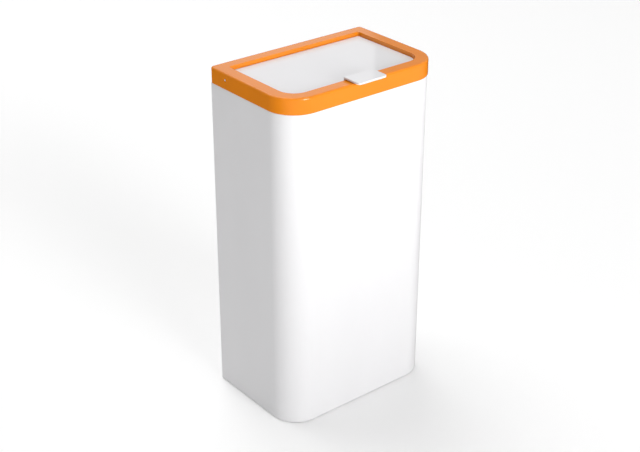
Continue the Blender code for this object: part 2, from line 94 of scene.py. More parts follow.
# how far cutters run past the faces they open, and joined shapes into each other
PAST = 2.0
BORE_PAST = 3.0
SINK_PAST = 0.5
BITE = 1.0

# top frame section, inset from its outer face
RIM_FOOT = BODY_HIGH.z + FIT
RIM_WALL = 3.0
RIM_BACK_CORNER = 5.5
RIM_PLATE = 3.0
RIM_FILLET = 3.2
RIM_EDGE = 0.4
RIM_MOUTH_EDGE = 0.7
RIM_LIP_EDGE = 0.5
SKIRT_EDGE = 0.6
RIM_BAND = 20.0
RIM_INNER = 17.5
RIM_INNER_FOOT = 512.0
SKIRT_OUT = 4.5
SKIRT_IN = 6.5
RIB = 1.6
RIB_BITE = 0.8
RIB_FOOT = 524.0
RIM_RIBS_X = (-66.0, -22.0, 22.0, 66.0)
RIM_RIBS_DEPTH = (62.0, 92.0, 122.0)
LEDGE_HALF = 98.0
LEDGE_REAR = 28.5
LEDGE_UNDER = 520.5
LEDGE_TOP = 523.0
LEDGE_EDGE = 0.4
STOP_INNER_X = 116.5
STOP_DEPTHS = (134.5, 142.4)
STOP_HEIGHTS = (512.6, 517.2)
STOP_EDGE = 0.5
SLEEVE_RADIUS = 4.6
BORE_RADIUS = 2.4
PIN_DOME = 1.1
PIN_FLAT = 0.2
BUTTON_HOLE = 1.8
BUTTON_STEM = 1.4
BUTTON_BARB = 1.0
BUTTON_ROUND = 1.1
BUTTON_SEAT_ROUND = 0.3
BUTTON_BARB_ROUND = 0.2
BUTTON_CORE = 0.4

# lid
LID_TOP = 534.0
LID_FOOT = 526.0
LID_PLATE = 3.0
LID_SKIRT = 2.0
LID_FRONT_DEPTH = 21.0
LID_EDGE = 0.8
LID_SKIRT_EDGE = 0.4
LID_MARGIN = 8.0
LID_CORNER = CORNER - 21.0
LID_BOSS_INNER = 111.5
LID_BORE_INNER = 112.6
LID_RIBS_X = (-75.0, -28.5, 28.5, 75.0)
LID_RIB_FOOT = 528.5
TAB_HALF = 26.5
TAB_REAR_DEPTH = 22.6
TAB_THICK = 3.0
TAB_CORNER = 4.5
TAB_EDGE = 0.6
TAB_REAR_CORNER = 0.8
WEB_INSET = 0.3
WEB_SET_BACK = 0.1

# body moulding
BODY_CORNER = CORNER - 1.2
BODY_EDGE = 0.8
WALL = 3.0
WALL_TIP = 1.0
FLOOR_UNDER = 3.0
FLOOR_TOP = 6.0
FLOOR_REAR_DEPTH = 181.2
FLANGE_INNER_X = 127.0
FLANGE_DEPTHS = (178.7, 181.7)
FLANGE_HEIGHTS = (4.5, 499.0)
BOSS_RADIUS = 4.2
BOSS_FRONT_DEPTH = 168.5
PILOT_RADIUS = 1.8
PILOT_FRONT_DEPTH = 170.0
STEM_HOLE = 2.8

# back panel and screws
PANEL_CORNER = 2.0
PANEL_EDGE = 0.4
KEY_X = 90.0
KEY_HEIGHT = 452.0
KEY_LARGE = 5.0
KEY_SMALL = 2.6
KEY_RISE = 14.0
SINK_SMALL = 1.9
SINK_LARGE = 3.95
SCREW_HEAD = 3.5
SCREW_HEAD_EDGE = 0.12
SCREW_RIM = 0.2
SCREW_SHANK = 1.45
SCREW_POINT = 2.0
SCREW_TIP = 0.25
SCREW_NECK_DEPTH = 182.7
CROSS_LONG = 3.6
CROSS_WIDE = 0.8
CROSS_DEEP = 0.9
CROSS_SHALLOW = 0.81
CROSS_PAST = (1.0, 1.1)

# feet, ring, clips
STEM_RADIUS = 2.4
STEM_HEAD = 4.2
STEM_HEAD_EDGE = 0.4
STEM_POINT = 0.3
STEM_HEAD_SLOPE = 0.1
STEM_POINT_SLOPE = 0.4
FOOT_CORE = 1.2
FOOT_EDGE = ((1.0, 0.0), (0.3, 0.35), (0.0, 1.1))
FOOT_CHAMFER = 0.4
GROOVE_INNER = 3.2
GROOVE_OUTER = (5.3, 6.2)
GROOVE_SLOPE = 0.3
GROOVE_DEEP = 0.5
RING_RADIUS = 2.0
RING_CORNER = 30.0
RING_TRIM = 0.97
WELD_POINTS = (2.2, 1.2, 0.0, -1.2, -2.2)
WELD_HALF = 1.5
CLIP_THICK = 2.2
CLIP_GUSSET = 4.5
CLIP_EDGE = 0.25
CLIP_BACK_ROUND = 0.3
CLIP_FOOT_ROUND = 0.8
CLIP_GUSSET_ROUND = 1.0
CLIP_HEEL_ROUND = 1.2
CLIP_TIP_ROUND = 1.0
CLIP_ROUND = 0.9

# witness marks of moulding
EJECTOR_RADIUS = 4.0
EJECTOR_DEEP = 0.15
LID_MARKS_X = (-51.5, 0.0, 51.5)
LID_MARKS_DEPTH = (60.0, 135.0)
FLOOR_MARKS_X = (-80.0, 0.0, 80.0)
FLOOR_MARKS_DEPTH = (50.0, 130.0)
GATE_RADIUS = 2.2
GATE_RISE = 0.8
GATE_TAPER = 0.7
GATE_DEPTH = 95.0

# roundness
CORNER_STEPS = 20
EDGE_STEPS = 4
LARGE_RADIUS = 10.0
ROUND_STEPS = 48
MEDIUM_STEPS = 32
SMALL_STEPS = 24
WIRE_STEPS = 16
SHARP_ANGLE = 32.0
BLOCK_ROUND = 1.8
MITRE_LIMIT = 0.3
WELD_GAP = 0.001

# colours and the size of what varies in a material, millimetres
WHITE = (0.80, 0.795, 0.805, 1.0)
LID_WHITE = (0.765, 0.76, 0.775, 1.0)
ORANGE = (0.80, 0.236, 0.008, 1.0)
RUBBER = (0.028, 0.028, 0.03, 1.0)
PLASTIC_SPECULAR = 0.45
FLOW_SIZE = 90.0
FLOW_STRETCH = (1.0, 1.0, 0.35)
SMEAR_SIZE = 38.0
SMEAR_GLOSS = (0.7, 1.4)
SCRATCH_WIDE = 0.18
SCRATCH_LONG = 9.0
SCRATCH_PEAK = (0.66, 0.74)
SCRATCH_GLOSS = 0.3
PEEL_SIZE = 2.6
GRAIN_SIZE = 0.45
STEEL_BLUE = 1.01
STEEL_SHADES = (0.86, 1.08)
PATCH_SIZE = 9.0
PATCH_GLOSS = 0.03
LINE_GLOSS = (0.8, 1.2)
LINE_HEIGHT = 0.01
RUBBER_SPECULAR = 0.35
RUBBER_SHADES = (0.8, 1.7)
RUBBER_ROUGHNESS = 0.75
RUBBER_ROUGHNESS_RANGE = (0.66, 0.86)
BLOOM_SIZE = 6.0
RUBBER_GRAIN = 0.5
RUBBER_GRAIN_HEIGHT = 0.05

# the floor the bin stands on
STAGE_HALF = 8.0
STAGE_WHITE = 0.97
STAGE_ROUGHNESS = 0.7
STAGE_SPECULAR = 0.2
STAGE_GLOW = 0.03

# surroundings: brightness, and the direction heights between which it changes
AMBIENT = 0.66
BACKDROP = 1.0
AT_HORIZON = 0.5
BELOW_HORIZON = 0.04
HORIZON_SOFT = 0.05
PALE_AHEAD = 1.0
PALE_AHEAD_FROM = 0.6
PALE_BELOW_FROM = 0.3

# lights, in metres, watts and degrees
TOP_FROM = Vector((0.0, 0.50, 0.866))
TOP_STRENGTH = 1.10
TOP_SOFTNESS = 45.0
FRONT_FROM = Vector((0.0, -0.970, 0.242))
FRONT_STRENGTH = 1.17
FRONT_SOFTNESS = 30.0
SUN_AWAY = 4.0
KEY_PLACE = Vector((0.0, -1.7, 0.75))
KEY_AIM = Vector((0.0, -0.05, 0.45))
KEY_WATTS = 1.43
KEY_SIDE = 0.8
KEY_SPREAD = 120.0
EDGE_PLACE = Vector((0.0, -1.9, 0.85))
EDGE_AIM = Vector((0.0, 0.0, 0.56))
EDGE_WATTS = 0.38
EDGE_SIDE = 0.5
EDGE_SPREAD = 24.0
PANEL_RADIANCE = 0.541
PANEL_AWAY = 2.6
PANEL_EDGE_YAW = 41.55
PANEL_WIDE = 3.2
PANEL_FOOT = 0.9
PANEL_TALL = 2.2

# camera, from the matched view of the object
CAMERA_PLACE = (-1.15109, -1.39884, 1.21573)
CAMERA_YAW = 39.053
CAMERA_PITCH = 27.496
CAMERA_ROLL = 0.157
CAMERA_LENS = 74.27
SENSOR = 36.0


# outlines


def depth(distance):
    """Y of a plane that lies this far behind the front face of the top frame."""
    return FRONT + distance


def arc(centre, radius, start, sweep, steps):
    angles = [start + sweep * index / steps for index in range(steps + 1)]
    return [(centre[0] + radius * math.cos(angle), centre[1] + radius * math.sin(angle)) for angle in angles]


def rounded(corners, closed=True):
    """Points of an outline given as (u, v, radius) corners, with an arc of that radius at each corner."""
    points = []
    count = len(corners)
    for index, (u, v, radius) in enumerate(corners):
        here = Vector((u, v))
        if radius <= 0.0 or (not closed and index in (0, count - 1)):
            points.append((u, v))
            continue
        back = (Vector(corners[index - 1][:2]) - here).normalized()
        on = (Vector(corners[(index + 1) % count][:2]) - here).normalized()
        half_angle = back.angle(on) / 2.0
        centre = here + (back + on).normalized() * radius / math.sin(half_angle)
        start = here + back * radius / math.tan(half_angle) - centre
        end = here + on * radius / math.tan(half_angle) - centre
        first = math.atan2(start.y, start.x)
        sweep = (math.atan2(end.y, end.x) - first + math.pi) % (2.0 * math.pi) - math.pi
        points += arc(centre, radius, first, sweep, CORNER_STEPS if radius > LARGE_RADIUS else EDGE_STEPS)
    return points


def bin_outline(half, front, rear, front_radius, rear_radius):
    """Outline of the bin seen from above: round at the front, nearly square at the back."""
    return rounded([
        (half, front, front_radius),
        (half, rear, rear_radius),
        (-half, rear, rear_radius),
        (-half, front, front_radius),
    ])


def rim_outline(inset):
    rear_radius = max(BACK_CORNER, RIM_BACK_CORNER - inset)
    return bin_outline(HALF_WIDTH - inset, FRONT + inset, REAR - inset, CORNER - inset, rear_radius)


def lid_outline(inset):
    front = depth(LID_FRONT_DEPTH) + inset
    return bin_outline(LID_HIGH.x - inset, front, LID_HIGH.y - inset, LID_CORNER - inset, BACK_CORNER)


def wall_outline(shrink):
    """The body's upright wall seen from above, a U open at the back; shrink moves every face inwards."""
    half = BODY_HIGH.x - shrink
    front = BODY_LOW.y + shrink
    rear = BODY_HIGH.y - shrink
    inner = BODY_HIGH.x - WALL + shrink
    inner_front = BODY_LOW.y + WALL - shrink
    tip = WALL_TIP - shrink / 2.0
    return rounded([
        (-half, rear, tip),
        (-half, front, BODY_CORNER - shrink),
        (half, front, BODY_CORNER - shrink),
        (half, rear, tip),
        (inner, rear, tip),
        (inner, inner_front, BODY_CORNER - WALL + shrink),
        (-inner, inner_front, BODY_CORNER - WALL + shrink),
        (-inner, rear, tip),
    ])


def shrunk(points, distance):
    """A closed outline moved inwards by a small distance, whichever way round it runs."""
    area = sum(a[0] * b[1] - b[0] * a[1] for a, b in zip(points, points[1:] + points[:1]))
    turn = 1.0 if area > 0.0 else -1.0
    moved = []
    for index, point in enumerate(points):
        here = Vector(point)
        back = (here - Vector(points[index - 1])).normalized()
        on = (Vector(points[(index + 1) % len(points)]) - here).normalized()
        mean = (back + on).normalized()
        normal = Vector((-mean.y, mean.x)) * turn
        reach = distance / max(MITRE_LIMIT, math.sqrt((1.0 + back.dot(on)) / 2.0))
        moved.append(tuple(here + normal * reach))
    return moved


def circle(radius, steps=ROUND_STEPS):
    turn = 2.0 * math.pi / steps
    return [(radius * math.cos(index * turn), radius * math.sin(index * turn)) for index in range(steps)]


def edge_rings(low, high, edge):
    """(inset, height) pairs of a slab whose two ends are rounded."""
    quarter = [math.pi / 2.0 * index / EDGE_STEPS for index in range(EDGE_STEPS + 1)]
    rings = [(edge * (1.0 - math.sin(angle)), low + edge * (1.0 - math.cos(angle))) for angle in quarter]
    rings += [(edge * (1.0 - math.cos(angle)), high - edge * (1.0 - math.sin(angle))) for angle in quarter]
    return rings


# meshes, millimetres


def loft(rings, closed=False):
    """Skin through rings of 3-D points of equal count; an open loft is capped, a closed one joins up."""
    mesh = bmesh.new()
    levels = [[mesh.verts.new(point) for point in ring] for ring in rings]
    pairs = list(zip(levels[:-1], levels[1:]))
    if closed:
        pairs.append((levels[-1], levels[0]))
    else:
        mesh.faces.new(levels[0])
        mesh.faces.new(levels[-1])
    for below, above in pairs:
        for index in range(len(below)):
            on = (index + 1) % len(below)
            mesh.faces.new((below[index], below[on], above[on], above[index]))
    bmesh.ops.recalc_face_normals(mesh, faces=mesh.faces)
    return mesh


def stacked(outline, section):
    """Rings of an outline, drawn in by each (inset, height) pair of a section."""
    return [[(x, y, z) for x, y in outline(inset)] for inset, z in section]


def slab(points, low, high, edge=0.0):
    """Outline with thickness along Z and both ends' edges rounded."""
    if edge <= 0.0:
        return loft([[(x, y, z) for x, y in points] for z in (low, high)])
    return loft(stacked(lambda inset: shrunk(points, inset), edge_rings(low, high, edge)))


def block(low, high, edge=0.0):
    """Straight-sided block between two corners, its ends along Z rounded over when edge is given."""
    outline = [(low[0], low[1]), (high[0], low[1]), (high[0], high[1]), (low[0], high[1])]
    if edge > 0.0:
        outline = rounded([(x, y, edge * BLOCK_ROUND) for x, y in outline])
    return slab(outline, low[2], high[2], edge)


def turned(profile, steps=ROUND_STEPS):
    """Turned piece about Z from (radius, height) points; its first and last ring are capped."""
    return loft([[(x, y, height) for x, y in circle(radius, steps)] for radius, height in profile])


def rod(radius, low, high, steps=ROUND_STEPS):
    return turned([(radius, low), (radius, high)], steps)


AIM = {
    "X": Matrix.Rotation(math.pi / 2.0, 4, "Y"),
    "Y": Matrix.Rotation(-math.pi / 2.0, 4, "X"),
    "Z": Matrix.Identity(4),
}


def aimed(mesh, axis, centre):
    """Turn a mesh so that its own Z lies along the axis, then move its origin to the centre."""
    mesh.transform(Matrix.Translation(centre) @ AIM[axis])
    return mesh


def upright(mesh, y):
    """Stand a slab drawn in (x, z) on edge: its own Z becomes -Y, measured from the plane at y."""
    mesh.transform(Matrix.Translation((0.0, y, 0.0)) @ Matrix.Rotation(math.pi / 2.0, 4, "X"))
    return mesh


def upright_rod(place, radius, low, high, steps=SMALL_STEPS):
    return aimed(rod(radius, low, high, steps), "Z", (place[0], place[1], 0.0))


def ejector_marks(xs, depths, low, high):
    """Cutters for the shallow round recesses left by ejector pins, between two heights."""
    places = [(x, depth(distance)) for x in xs for distance in depths]
    return [upright_rod(place, EJECTOR_RADIUS, low, high, MEDIUM_STEPS) for place in places]


def gate_mark(under):
    """Trimmed stub of the runner, hanging below a face that looks down."""
    profile = [
        (GATE_RADIUS, under + BITE),
        (GATE_RADIUS, under - GATE_RISE / 2.0),
        (GATE_RADIUS * GATE_TAPER, under - GATE_RISE),
    ]
    return aimed(turned(profile, SMALL_STEPS), "Z", (0.0, depth(GATE_DEPTH), 0.0))


def to_object(name, mesh):
    data = bpy.data.meshes.new(name)
    mesh.to_mesh(data)
    mesh.free()
    item = bpy.data.objects.new(name, data)
    bpy.context.scene.collection.objects.link(item)
    return item


def freeze(item):
    """Replace an object's mesh by what its modifiers make of it."""
    bpy.context.view_layer.update()
    evaluated = item.evaluated_get(bpy.context.evaluated_depsgraph_get())
    item.data = bpy.data.meshes.new_from_object(evaluated)
    item.modifiers.clear()


def combine(item, tools, operation):
    """Join or cut an object with a list of meshes, and keep only the result."""
    made = []
    for index, tool in enumerate(tools):
        cutter = to_object(item.name + "_tool_" + str(index), tool)
        modifier = item.modifiers.new(cutter.name, "BOOLEAN")
        modifier.operation = operation
        modifier.solver = "EXACT"
        modifier.object = cutter
        made.append(cutter)
    freeze(item)
    for cutter in made:
        bpy.data.objects.remove(cutter, do_unlink=True)


def finish_piece(item, material, body, slot, *nodes):
    """Weld, scale to metres, shade, tie a finished piece to its CAD body and hide the CAD nodes it stands
    for; the slot argument is not used.
    """
    mesh = bmesh.new()
    mesh.from_mesh(item.data)
    bmesh.ops.remove_doubles(mesh, verts=mesh.verts, dist=WELD_GAP)
    bmesh.ops.dissolve_degenerate(mesh, edges=mesh.edges, dist=WELD_GAP)
    bmesh.ops.recalc_face_normals(mesh, faces=mesh.faces)
    bmesh.ops.scale(mesh, vec=(MM, MM, MM), verts=mesh.verts)
    mesh.to_mesh(item.data)
    mesh.free()
    item.data.materials.clear()
    item.data.materials.append(material)
    item.data.shade_smooth()
    item.data.set_sharp_from_angle(angle=math.radians(SHARP_ANGLE))
    weighted = item.modifiers.new("weighted_normals", "WEIGHTED_NORMAL")
    weighted.keep_sharp = True
    freeze(item)
    item.data.name = item.name
    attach(item, body)
    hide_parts(*nodes)
    return item


# materials


def new_material(name, colour, roughness, metallic=0.0, specular=0.5):
    material = bpy.data.materials.new(name)
    material.use_nodes = True
    shader = material.node_tree.nodes["Principled BSDF"]
    shader.inputs["Base Color"].default_value = colour
    shader.inputs["Roughness"].default_value = roughness
    shader.inputs["Metallic"].default_value = metallic
    shader.inputs["Specular IOR Level"].default_value = specular
    return material


def object_place(tree, stretch=(1.0, 1.0, 1.0)):
    """Coordinates in the row frame at rest, in metres, stretched along the axes."""
    place = tree.nodes.new("ShaderNodeTexCoord")
    mapping = tree.nodes.new("ShaderNodeMapping")
    mapping.inputs["Scale"].default_value = stretch
    tree.links.new(place.outputs["Object"], mapping.inputs["Vector"])
    return mapping.outputs["Vector"]


def noise(tree, size, detail=2.0, stretch=(1.0, 1.0, 1.0)):
    """Noise whose features are about this many millimetres across."""
    node = tree.nodes.new("ShaderNodeTexNoise")
    node.inputs["Scale"].default_value = 1.0 / (size * MM)
    node.inputs["Detail"].default_value = detail
    tree.links.new(object_place(tree, stretch), node.inputs["Vector"])
    return node.outputs["Fac"]


def spread(tree, value, low, high, start=0.3, end=0.7):
    """Map a value from start..end to low..high."""
    node = tree.nodes.new("ShaderNodeMapRange")
    node.inputs["From Min"].default_value = start
    node.inputs["From Max"].default_value = end
    node.inputs["To Min"].default_value = low
    node.inputs["To Max"].default_value = high
    tree.links.new(value, node.inputs["Value"])
    return node.outputs["Result"]


def maths(tree, operation, first, second):
    node = tree.nodes.new("ShaderNodeMath")
    node.operation = operation
    tree.links.new(first, node.inputs[0])
    tree.links.new(second, node.inputs[1])
    return node.outputs["Value"]


def add(tree, first, second):
    return maths(tree, "ADD", first, second)


def vary_colour(material, value, low, high):
    """Base colour between two shades, by a value from 0 to 1."""
    tree = material.node_tree
    node = tree.nodes.new("ShaderNodeMix")
    node.data_type = "RGBA"
    node.inputs["A"].default_value = low
    node.inputs["B"].default_value = high
    tree.links.new(value, node.inputs["Factor"])
    tree.links.new(node.outputs["Result"], tree.nodes["Principled BSDF"].inputs["Base Color"])


def vary_roughness(material, value):
    tree = material.node_tree
    tree.links.new(value, tree.nodes["Principled BSDF"].inputs["Roughness"])


def add_bump(material, layers):
    """Bump from (height value, height in millimetres) layers, one node after another."""
    tree = material.node_tree
    normal = None
    for value, height in layers:
        node = tree.nodes.new("ShaderNodeBump")
        node.inputs["Distance"].default_value = height * MM
        tree.links.new(value, node.inputs["Height"])
        if normal:
            tree.links.new(normal, node.inputs["Normal"])
        normal = node.outputs["Normal"]
    tree.links.new(normal, tree.nodes["Principled BSDF"].inputs["Normal"])


def shade(colour, factor):
    return tuple(min(1.0, channel * factor) for channel in colour[:3]) + (1.0,)


def scratches(tree, across, along):
    """Fine hairline marks: stretched noise in two directions, thinned to its peaks."""
    first = noise(tree, across, detail=3.0, stretch=(1.0, 1.0, across / along))
    second = noise(tree, across, detail=3.0, stretch=(across / along, 1.0, 1.0))
    peaks = [spread(tree, value, 0.0, 1.0, *SCRATCH_PEAK) for value in (first, second)]
    return add(tree, peaks[0], peaks[1])


def moulded_plastic(name, colour, gloss, peel, tint, grain=0.0):
    """Moulded plastic: flow shading, orange peel, handling smears and hairline scratches in the gloss."""
    material = new_material(name, colour, gloss, 0.0, PLASTIC_SPECULAR)
    tree = material.node_tree
    flow = spread(tree, noise(tree, FLOW_SIZE, detail=3.0, stretch=FLOW_STRETCH), 0.0, 1.0)
    vary_colour(material, flow, shade(colour, 1.0 - tint), shade(colour, 1.0 + tint / 2.0))
    smooth, dull = (gloss * factor for factor in SMEAR_GLOSS)
    smears = spread(tree, noise(tree, SMEAR_SIZE, detail=4.0), smooth, dull, 0.0, 1.0)
    marks = spread(tree, scratches(tree, SCRATCH_WIDE, SCRATCH_LONG), 0.0, gloss * SCRATCH_GLOSS, 0.0, 1.0)
    vary_roughness(material, add(tree, smears, marks))
    layers = [(noise(tree, PEEL_SIZE, detail=1.0), peel)]
    if grain > 0.0:
        layers.append((noise(tree, GRAIN_SIZE), grain))
    add_bump(material, layers)
    return material


def steel_material(name, size, stretch, brightness, gloss, metal=1.0):
    """Drawn, ground or dull-plated steel: fine lines along the work, a few darker patches."""
    colour = (brightness, brightness, brightness * STEEL_BLUE, 1.0)
    material = new_material(name, colour, gloss, metal)
    tree = material.node_tree
    lines = noise(tree, size, detail=3.0, stretch=stretch)
    patches = noise(tree, PATCH_SIZE, detail=3.0)
    dark, pale = (shade(colour, factor) for factor in STEEL_SHADES)
    vary_colour(material, spread(tree, patches, 0.0, 1.0), dark, pale)
    smooth, dull = (gloss * factor for factor in LINE_GLOSS)
    grind = spread(tree, lines, smooth, dull)
    vary_roughness(material, add(tree, grind, spread(tree, patches, 0.0, PATCH_GLOSS)))
    add_bump(material, [(lines, LINE_HEIGHT)])
    return material


def rubber_material():
    material = new_material("black_rubber_look", RUBBER, RUBBER_ROUGHNESS, 0.0, RUBBER_SPECULAR)
    tree = material.node_tree
    bloom = noise(tree, BLOOM_SIZE, detail=4.0)
    dark, pale = (shade(RUBBER, factor) for factor in RUBBER_SHADES)
    vary_colour(material, spread(tree, bloom, 0.0, 1.0), dark, pale)
    vary_roughness(material, spread(tree, bloom, *RUBBER_ROUGHNESS_RANGE))
    add_bump(material, [(noise(tree, RUBBER_GRAIN, detail=3.0), RUBBER_GRAIN_HEIGHT)])
    return material


BODY_LOOK = moulded_plastic("body_white_look", WHITE, gloss=0.37, peel=0.012, tint=0.015)
PANEL_LOOK = moulded_plastic("panel_white_look", WHITE, gloss=0.42, peel=0.02, tint=0.02, grain=0.02)
LID_LOOK = moulded_plastic("lid_white_look", LID_WHITE, gloss=0.05, peel=0.002, tint=0.01)
RIM_LOOK = moulded_plastic("frame_orange_look", ORANGE, gloss=0.12, peel=0.008, tint=0.04)
CLIP_LOOK = moulded_plastic("clip_white_look", WHITE, gloss=0.48, peel=0.02, tint=0.02, grain=0.03)
PIN_LOOK = steel_material("plated_steel_look", 0.3, (0.1, 1.0, 1.0), brightness=0.95, gloss=0.5, metal=0.1)
RING_LOOK = steel_material("drawn_wire_look", 0.35, (0.15, 0.15, 1.0), brightness=0.62, gloss=0.18)
SCREW_LOOK = steel_material("screw_steel_look", 0.3, (1.0, 0.1, 1.0), brightness=0.7, gloss=0.2)
RUBBER_LOOK = rubber_material()


# body, panel, screws, feet


def make_body():
    section = edge_rings(BODY_LOW.z, BODY_HIGH.z, BODY_EDGE)
    body = to_object("body_moulding", loft(stacked(wall_outline, section)))
    bite = WALL / 2.0
    half = BODY_HIGH.x - bite
    floor = bin_outline(half, BODY_LOW.y + bite, depth(FLOOR_REAR_DEPTH), BODY_CORNER - bite, BACK_CORNER)
    joins = [slab(floor, FLOOR_UNDER, FLOOR_TOP), gate_mark(FLOOR_UNDER)]
    for sign in SIGNS:
        ends = sorted((sign * FLANGE_INNER_X, sign * half))
        low = (ends[0], depth(FLANGE_DEPTHS[0]), FLANGE_HEIGHTS[0])
        high = (ends[1], depth(FLANGE_DEPTHS[1]), FLANGE_HEIGHTS[1])
        joins.append(block(low, high))
    cuts = ejector_marks(FLOOR_MARKS_X, FLOOR_MARKS_DEPTH, FLOOR_TOP - EJECTOR_DEEP, FLOOR_TOP + BITE)
    boss_rear = depth(sum(FLANGE_DEPTHS) / 2.0)
    for place in SCREW_PLACES:
        boss = rod(BOSS_RADIUS, depth(BOSS_FRONT_DEPTH), boss_rear, SMALL_STEPS)
        pilot = rod(PILOT_RADIUS, depth(PILOT_FRONT_DEPTH), REAR, SMALL_STEPS)
        joins.append(aimed(boss, "Y", (place.x, 0.0, place.z)))
        cuts.append(aimed(pilot, "Y", (place.x, 0.0, place.z)))
    for name in FOOT_NAMES:
        cuts.append(upright_rod(middle_mm(name), STEM_HOLE, FLOOR_UNDER - PAST, FLOOR_TOP + PAST))
    combine(body, joins, "UNION")
    combine(body, cuts, "DIFFERENCE")
    finish_piece(body, BODY_LOOK, "bin_body", "body_white", "body_shell")


def keyhole():
    """Keyhole with its wide end round the origin and its narrow end above it."""
    join = math.asin(KEY_SMALL / KEY_LARGE)
    wide = arc((0.0, 0.0), KEY_LARGE, math.pi / 2.0 + join, 2.0 * math.pi - 2.0 * join, MEDIUM_STEPS)
    narrow = arc((0.0, KEY_RISE), KEY_SMALL, 0.0, math.pi, MEDIUM_STEPS // 2)
    return wide + narrow


def make_panel():
    half = PANEL_HIGH.x
    outline = rounded([
        (half, PANEL_LOW.z, PANEL_CORNER),
        (half, PANEL_HIGH.z, PANEL_CORNER),
        (-half, PANEL_HIGH.z, PANEL_CORNER),
        (-half, PANEL_LOW.z, PANEL_CORNER),
    ])
    thick = PANEL_HIGH.y - PANEL_LOW.y
    panel = to_object("back_plate", upright(slab(outline, 0.0, thick, PANEL_EDGE), PANEL_HIGH.y))
    spill = (SINK_LARGE - SINK_SMALL) / thick * SINK_PAST
    sink = [(SINK_SMALL - spill, PANEL_LOW.y - SINK_PAST), (SINK_LARGE + spill, PANEL_HIGH.y + SINK_PAST)]
    cuts = [aimed(turned(sink), "Y", (place.x, 0.0, place.z)) for place in SCREW_PLACES]
    for sign in SIGNS:
        hole = [(x + sign * KEY_X, z + KEY_HEIGHT) for x, z in keyhole()]
        cuts.append(upright(slab(hole, -PAST, thick + PAST), PANEL_HIGH.y))
    combine(panel, cuts, "DIFFERENCE")
    finish_piece(panel, PANEL_LOOK, "bin_body", "panel_white", "back_panel")


def make_screws():
    """Countersunk screws with a cross cut into the head."""
    face = SCREW_HIGH.y
    tip = SCREW_LOW.y
    long = CROSS_LONG / 2.0
    wide = CROSS_WIDE / 2.0
    profile = [
        (SCREW_TIP, tip),
        (SCREW_SHANK, tip + SCREW_POINT),
        (SCREW_SHANK, depth(SCREW_NECK_DEPTH)),
        (SCREW_HEAD, face - SCREW_RIM),
        (SCREW_HEAD - SCREW_HEAD_EDGE, face),
    ]
    slots = ((long, wide, CROSS_DEEP, CROSS_PAST[0]), (wide, long, CROSS_SHALLOW, CROSS_PAST[1]))
    for index, place in enumerate(SCREW_PLACES):
        number = str(index + 1)
        mesh = aimed(turned(profile, MEDIUM_STEPS), "Y", (place.x, 0.0, place.z))
        screw = to_object("plate_screw_" + number, mesh)
        cross = []
        for half_x, half_z, deep, past in slots:
            low = (place.x - half_x, face - deep, place.z - half_z)
            high = (place.x + half_x, face + past, place.z + half_z)
            cross.append(block(low, high))
        combine(screw, cross, "DIFFERENCE")
        finish_piece(screw, SCREW_LOOK, "bin_body", "bright_steel", "panel_screw_" + number)


def make_feet():
    """Rubber feet with a rounded pad, grip grooves under it and a barbed stem through the floor."""
    radius = (FOOT_HIGH.x - FOOT_LOW.x) / 2.0
    pad_top = FLOOR_UNDER - FIT
    top = FOOT_HIGH.z
    profile = [
        (FOOT_CORE, GROOVE_DEEP),
        (GROOVE_INNER, GROOVE_DEEP),
        (GROOVE_INNER + GROOVE_SLOPE, 0.0),
        (GROOVE_OUTER[0] - GROOVE_SLOPE, 0.0),
        (GROOVE_OUTER[0], GROOVE_DEEP),
        (GROOVE_OUTER[1], GROOVE_DEEP),
        (GROOVE_OUTER[1] + GROOVE_SLOPE, 0.0),
        *[(radius - inset, height) for inset, height in FOOT_EDGE],
        (radius, pad_top - FOOT_CHAMFER),
        (radius - FOOT_CHAMFER, pad_top),
        (STEM_RADIUS, pad_top),
        (STEM_RADIUS, FLOOR_TOP + FIT),
        (STEM_HEAD, FLOOR_TOP + FIT),
        (STEM_HEAD - STEM_HEAD_SLOPE, FLOOR_TOP + FIT + STEM_HEAD_EDGE),
        (STEM_RADIUS, top - STEM_POINT),
        (STEM_RADIUS - STEM_POINT_SLOPE, top),
    ]
    for node in FOOT_NAMES:
        place = middle_mm(node)
        mesh = aimed(turned(profile), "Z", (place.x, place.y, 0.0))
        foot = to_object(node.replace("foot", "rubber_foot"), mesh)
        finish_piece(foot, RUBBER_LOOK, "bin_body", "black_rubber", node)


# bag ring and clips


def make_ring():
    """Bent wire ring, closed by a butt weld at the middle of the back."""
    half = RING_HIGH.x - RING_RADIUS
    front = RING_LOW.y + RING_RADIUS
    rear = RING_HIGH.y - RING_RADIUS
    weld = [(offset, rear, 0.0) for offset in WELD_POINTS]
    path = rounded([(half, front, RING_CORNER), (half, rear, RING_CORNER)] + weld
                   + [(-half, rear, RING_CORNER), (-half, front, RING_CORNER)])
    rings = []
    for index, point in enumerate(path):
        here = Vector(point)
        ahead = Vector(path[(index + 1) % len(path)]) - Vector(path[index - 1])
        normal = Vector((ahead.y, -ahead.x)).normalized()
        on_weld = here.y > rear - WELD_GAP and abs(here.x) < WELD_HALF
        wire = circle(RING_RADIUS * (1.0 if on_weld else RING_TRIM), WIRE_STEPS)
        rings.append([(here.x + normal.x * u, here.y + normal.y * u, RING_HEIGHT + v) for u, v in wire])
    ring = to_object("bag_hoop", loft(rings, closed=True))
    finish_piece(ring, RING_LOOK, "bin_body", "ring_steel", "bag_ring")


